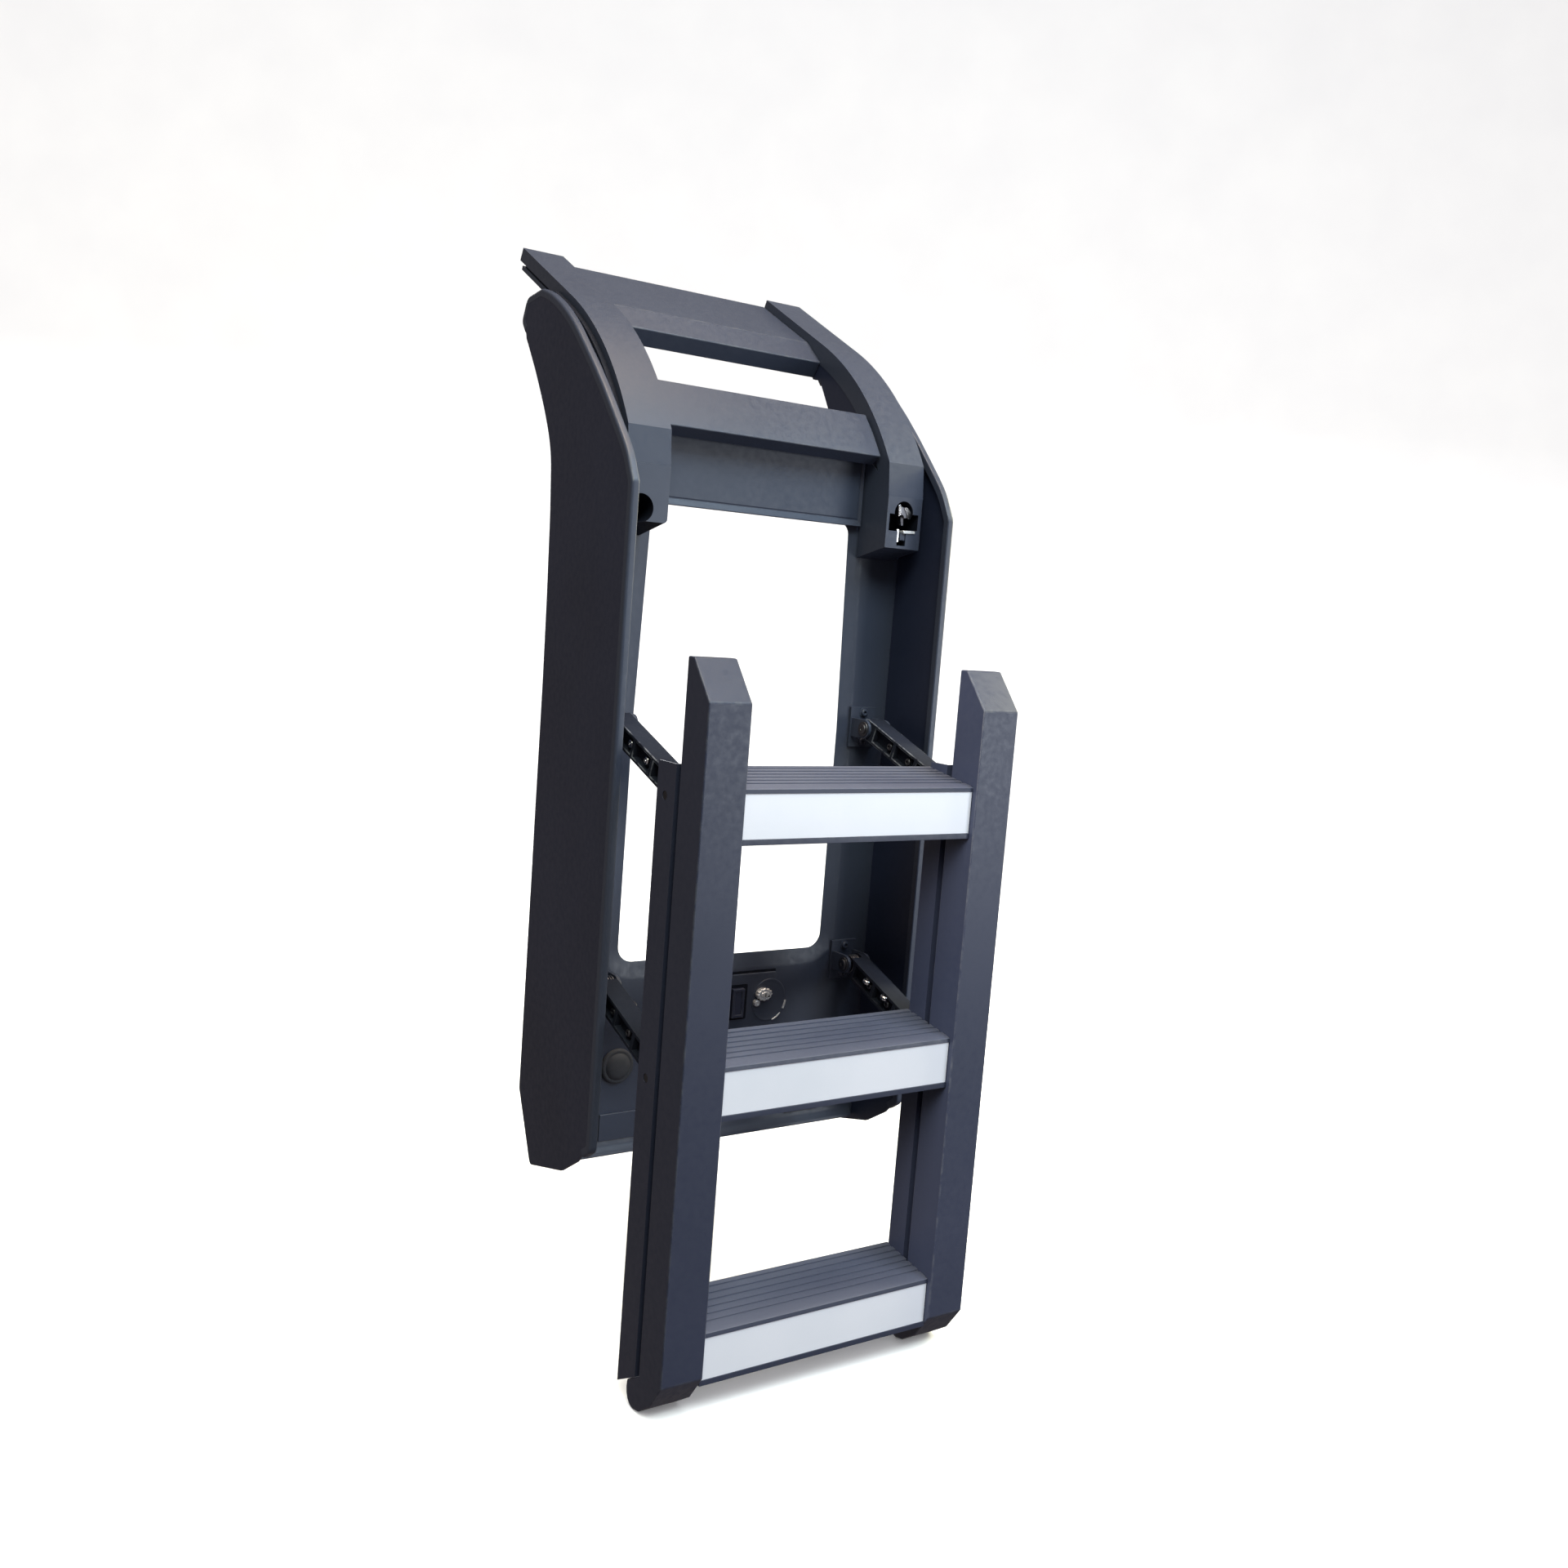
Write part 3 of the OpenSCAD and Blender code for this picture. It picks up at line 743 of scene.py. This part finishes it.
def lock():
    bm = fresh()
    # shallow oval dish round the key cylinder
    oval = lambda f, h: [P(71.5 + 26 * f * math.cos(k * math.pi / 36), -104 - h, -653.5 + 28.5 * f * math.sin(k * math.pi / 36)) for k in range(72)]
    rings(bm, [oval(f, h) for f, h in ((1, 0), (1, 2.3), (0.985, 2.8), (0.95, 3.05), (0.9, 2.9), (0.8, 2.4), (0.3, 2.35))])
    put(bm, "lock_dish", FRAME, "frame", (), 50)
    bm = fresh()
    # bright stretches of the dish's rim, only where it catches the light: painted highlight
    for a0, a1, w in ((-28, -5, 1.5), (-75, -42, 1.0)):
        pts = []
        for k in range(17):
            a = math.radians(a0 + (a1 - a0) * k / 16)
            pts.append((71.5 + 25.6 * math.cos(a), -106.9, -653.5 + 27.8 * math.sin(a)))
        tube(bm, pts, w, 10)
    put(bm, "lock_rim_highlights", ZINC, "frame", (), 40)
    bm = fresh()
    # key cylinder: an oval, knurled knob with a cut face
    n = 96
    at = Vector((60.6, -104, -644.2))
    loops = []
    for h, rx, rz, kn in ((1.5, 10.8, 7.6, 0), (5.5, 10.8, 7.6, 0), (6.0, 11.3, 8.0, 0.4), (8.6, 11.5, 8.2, 0.7), (9.6, 10.8, 7.6, 0.7),
                          (10.3, 9.4, 6.6, 0.4), (10.0, 8.4, 5.8, 0), (9.1, 7.8, 5.3, 0), (9.2, 6.6, 4.5, 0), (10.9, 5.6, 3.8, 0.4), (11.4, 4.0, 2.8, 0.2)):
        l = []
        for k in range(n):
            a = 2 * math.pi * k / n
            q = 1 + kn * math.cos(12 * a) / rx
            l.append(P(at.x + rx * q * math.cos(a), at.y - h, at.z + rz * q * math.sin(a)))
        loops.append(l)
    rings(bm, loops)
    # thumb piece of the latch beside the cylinder
    lathe(bm, [(1.5, 4.4), (5.6, 4.6), (7.0, 4.1), (7.8, 2.9), (7.4, 1.6), (7.4, 0)], (51.4, -104, -655.4), (0, -1, 0), 32)
    put(bm, "lock_cylinder_shape", ZINC, "frame", ("lock_cylinder",), 35)
    bm = fresh()
    # keyway and two small holes of the face, as black pieces that stand for the shade inside them: painted shade
    prism(bm, fillet([(60, -646.8), (61.3, -646.8), (61.3, -641.8), (60, -641.8)], 0.5, 3), -115.7, -114.5, "Y")
    for x, z, h, r in ((66.4, -646.6, 9.8, 1.6), (52.8, -649.2, 8.4, 1.9)):
        lathe(bm, [(h - 1.5, 0), (h - 1.5, r), (h + 0.5, r), (h + 0.5, r * 0.6), (h, r * 0.5), (h, 0)], (x, -104, z), (0, -1, 0), 20)
    put(bm, "lock_keyway", BLACK, "frame")


lock()


def bumpers():
    bm = fresh()
    for s in (-1, 1):
        lathe(bm, [(0, 0), (0, 21.4), (0.5, 21.9), (2.2, 22), (3.6, 21.4), (4.6, 20.2), (5.0, 18.8), (4.6, 17.4), (4.7, 16.6), (6.0, 15.4),
                   (7.4, 13.6), (8.3, 11), (8.8, 7.5), (9, 3.6), (9, 0)], (s * 144, -104, -718), (0, -1, 0), 64)
    put(bm, "bumpers_shape", SOFT, "frame", ("bumpers",), 40)


bumpers()


def latch():
    bright, dim, lip = fresh(), fresh(), fresh()

    def part(bm, pts, y0, y1, r=1.0, w=0.7):
        k = len(bm.verts)
        prism(bm, fillet(pts, r, 3), y0, y1, "Y")
        bm.verts.ensure_lookup_table()
        new = set(bm.verts[k:])
        round_edges(bm, creases(bm, 60, lambda c, e: e.verts[0] in new and abs(e.verts[0].co.y - y0 * MM) < 1e-6 and abs(e.verts[1].co.y - y0 * MM) < 1e-6), w, 3)

    # upright of the claw, the claw itself, and the plate between them
    part(bright, [(175.2, -12.6), (177.6, -10.6), (179.9, -11.6), (181.1, -23), (178.8, -25.4), (176.3, -25.2)], -158.2, -149)
    part(bright, [(184.6, -13.4), (188.6, -14.2), (192.4, -16.4), (195.6, -20), (196.4, -23.6), (195.6, -27.6), (190.4, -28), (190.9, -24.2), (189.3, -20),
                  (186.2, -17.4)], -158.6, -149, 1.6, 1.0)
    part(dim, [(180.4, -13.4), (184.8, -13.8), (189, -19.6), (190.6, -24), (190, -27.2), (186.9, -27.5), (184.5, -24), (181, -23.6)], -157.2, -149)
    # release bar, its slide below, and the polished lip under the mouth
    part(dim, [(183.9, -25.2), (188.2, -25.6), (189.4, -35.9), (185.9, -36.6)], -152.6, -146)
    part(bright, [(175.3, -41.9), (178.8, -41.5), (179.0, -57.4), (176.1, -57.8)], -158.4, -149, 0.8)
    part(lip, [(182, -43), (201, -42.4), (202.6, -45.8), (183.4, -46.8)], -162.4, -150, 1.2, 0.9)
    lathe(bright, [(0, 0), (0, 3.4), (18, 3.4), (18, 0)], (182.5, -145, -52), (0, 1, 0), 28)
    part(bright, [(-190, -46), (-186, -46), (-186, -37), (-190, -37)], -142, -126.2, 1.2)
    put(bright, "latch_jaws", BRIGHT, "frame", ("latch_hooks",), 35)
    put(dim, "latch_plates", SPRING, "frame", (), 35)
    put(lip, "latch_lip", ZINC, "frame", (), 35)
    bm = fresh()
    # coated slide plate in the lower slot, with a dark hole under it
    prism(bm, fillet([(180.4, -46.9), (187.8, -46.6), (187.8, -55.6), (184, -54.4), (180.4, -55.4)], 0.8, 3), -159.6, -150, "Y")
    put(bm, "latch_slide", FRAME, "frame")


latch()


# ---------------------------------------------------------------- links
def link_bolts(name, body, z0):
    boss, bright, dark = fresh(), fresh(), fresh()
    for s in (-1, 1):
        for d in (50, 91):
            y, z = PIV[0] - d * math.cos(LINK_A), z0 - d * math.sin(LINK_A)
            for t in (-1, 1):
                lathe(boss, [(2.5, 0), (2.5, 7.2), (4.2, 6.4), (7.4, 6.1), (8, 5.5), (8, 0)], (s * LX, y, z), (t, 0, 0), 32)
                # the outer screws of the upper left link are plated
                plated = t < 0 and s < 0 and body == "upper_links"
                screw(bright if plated else dark, (s * LX + t * 8, y, z), (t, 0, 0), 4.9, 3.4)
        if body == "lower_links":
            # two plated stop screws stand on the inner side of each lower link
            for d, h in ((48.3, 4.6), (87.7, 7.6)):
                up = Vector((0, -math.sin(LINK_A), math.cos(LINK_A)))
                at = Vector((s * (LX - 13.6), PIV[0] - d * math.cos(LINK_A), z0 - d * math.sin(LINK_A))) + up * h
                screw(bright if s > 0 else dark, tuple(at), tuple(up), 6.4, 4.0)
    put(boss, name + "_bosses", CAST, body, (), 35)
    put(bright, name + "_plated_screws", BRIGHT, body, (), 35)
    put(dark, name + "_dark_screws", DARKSTEEL, body, (), 35)


# the upper links' bevelled edges carry a bright painted highlight
for n in ("upper_link_left", "upper_link_right", "lower_link_left", "lower_link_right"):
    shape(n, 1.2, 2, mat=CAST_EDGE_HIGHLIGHT if n.startswith("upper") else CAST)
link_bolts("upper_link", "upper_links", PIV[1])
link_bolts("lower_link", "lower_links", PIV[1] - STEP)

# ---------------------------------------------------------------- ladder
for n in ("rail_left", "rail_right"):
    shape(n, 1.8, 3)


def channel_wall(c):
    """The inner wall is shallower than the outer one."""
    c = c.copy()
    if abs(c.x) < 163 and c.y > -279:
        c.y = -284
    return c


for n in ("rail_channel_left", "rail_channel_right"):
    shape(n, 0.7, 2, move=channel_wall)


for i, n in enumerate(("step_top", "step_middle", "step_bottom")):
    st = shape(n, 0.5, 2, 24, mat=TREAD)
    z0 = -345 - 300 * i
    # the nose's face and the lip under the strip stay in shade
    paint(st, LADDER, lambda c, n, z0=z0: c.z < z0 - 48.2 or (c.y < -361.4 and c.z < z0 + 3.2))
shape("reflector_strips", 0.25, 2)
shape("upper_ladder_pins", 0.5, 2)
shape("lower_ladder_pins", 0.5, 2)


def studs():
    bm = fresh()
    for x, z in ((-191, -280.6), (185.5, -262.5)):
        lathe(bm, [(-0.5, 5), (2.6, 5), (3.2, 4.4), (3.4, 3.4), (6.6, 3.4), (6.9, 4.2), (7.5, 5), (10.4, 5), (11.6, 4.2), (12, 3), (12, 0)],
              (x, -322, z), (0, 1, 0), 36)
    put(bm, "latch_studs_shape", PIN, "ladder", ("latch_studs",), 35)


studs()


# ---------------------------------------------------------------- stage
def area(name, loc, target, size, power, color=(1, 1, 1)):
    d = bpy.data.lights.new(name, "AREA")
    d.shape = "RECTANGLE"
    d.size, d.size_y = size
    d.energy = power
    d.color = color
    o = bpy.data.objects.new(name, d)
    o.location = loc
    o.rotation_mode = "QUATERNION"
    o.rotation_quaternion = (Vector(target) - Vector(loc)).to_track_quat("-Z", "Y")
    coll.objects.link(o)
    return o


def stage():
    z = cad_lo[2] - 0.001
    # a pale floor that sweeps up into a backdrop far behind the part
    prof = [(-6, 0)]
    for i in range(13):
        a = math.radians(90 * i / 12)
        prof.append((4 + 2 * math.sin(a), 2 - 2 * math.cos(a)))
    prof.append((6, 9))
    bm = bmesh.new()
    rows = []
    ax = Vector((math.cos(math.radians(-34.7)), math.sin(math.radians(-34.7)), 0))
    ay = Vector((-ax.y, ax.x, 0))
    for y, h in prof:
        rows.append([bm.verts.new(ax * x + ay * y + Vector((0, 0, z + h))) for x in (-9, 9)])
    for a, b in zip(rows, rows[1:]):
        bm.faces.new((a[0], a[1], b[1], b[0]))
    me = bpy.data.meshes.new("floor")
    bm.to_mesh(me)
    bm.free()
    for p in me.polygons:
        p.use_smooth = True
    o = bpy.data.objects.new("floor", me)
    m = Mat("floor_finish")
    m.link(m.mix(m.span(m.noise(3, 3), 0.3, 0.7, 0, 1), (0.86, 0.86, 0.87), (0.89, 0.89, 0.895)), m.b.inputs["Base Color"])
    m.b.inputs["Roughness"].default_value = 0.9
    m.b.inputs["Specular IOR Level"].default_value = 0.1
    me.materials.append(m.m)
    coll.objects.link(o)

    # the floor doesn't throw light back at the part, so the part's shaded sides stay dark
    o.visible_diffuse = False
    o.visible_glossy = False

    w = bpy.data.worlds.new("world")
    w.use_nodes = True
    w.node_tree.nodes["Background"].inputs["Color"].default_value = (1.0, 0.88, 0.86, 1)
    w.node_tree.nodes["Background"].inputs["Strength"].default_value = 0.18
    # seen directly, past the backdrop's end, the surroundings are as pale as the floor
    nt = w.node_tree
    pale = nt.nodes.new("ShaderNodeBackground")
    pale.inputs["Color"].default_value = (0.94, 0.94, 0.95, 1)
    both = nt.nodes.new("ShaderNodeMixShader")
    nt.links.new(nt.nodes.new("ShaderNodeLightPath").outputs["Is Camera Ray"], both.inputs[0])
    nt.links.new(nt.nodes["Background"].outputs[0], both.inputs[1])
    nt.links.new(pale.outputs[0], both.inputs[2])
    nt.links.new(both.outputs[0], nt.nodes["World Output"].inputs["Surface"])
    scene.world = w
    area("top", (0.2, -0.6, 2.8), (0.1, -0.2, -0.3), (1.6, 1.6), 80, (1.0, 0.80, 0.61))
    area("key", (0.9, -2.6, 2.6), (0, -0.2, -0.3), (2.2, 1.6), 96, (0.68, 0.86, 1.0))
    area("key_left", (-1.4, -2.4, 2.4), (0, -0.2, -0.3), (1.6, 1.4), 76, (0.91, 0.97, 0.80))
    area("fill", (1.9, -2.9, -0.4), (0, -0.3, -0.5), (1.4, 0.9), 26, (0.90, 0.96, 1.0))
    area("right", (3.0, -0.4, 0.8), (0, -0.3, -0.4), (1.5, 1.5), 145, (1.0, 0.96, 0.70))
    area("rear", (0.8, 3.0, 0.6), (0, 0, -0.4), (1.5, 1.5), 40, (0.95, 0.97, 1.0))
    # a low side light for the inner faces of the right rail
    inner = bpy.data.collections.new("right_rail_only")
    for n in ("rail_right_shape", "rail_channel_right_shape"):
        inner.objects.link(bpy.data.objects[n])
    lo = area("rail_side", (-1.6, -0.85, 0.25), (0.16, -0.35, -0.5), (0.8, 0.8), 48, (1.0, 0.95, 0.86))
    lo.light_linking.receiver_collection = inner
    # one wide, soft sun lights only the floor and its backdrop
    only = bpy.data.collections.new("floor_only")
    only.objects.link(o)
    sun = bpy.data.lights.new("floor_light", "SUN")
    sun.energy = 3.9
    sun.angle = math.radians(80)
    so = bpy.data.objects.new("floor_light", sun)
    so.rotation_mode = "QUATERNION"
    so.rotation_quaternion = (-(Vector((0, 0, 1.0)) - 0.75 * ay)).to_track_quat("-Z", "Y")
    coll.objects.link(so)
    so.light_linking.receiver_collection = only
    scene.view_settings.view_transform = "Standard"
    scene.view_settings.look = "None"


stage()
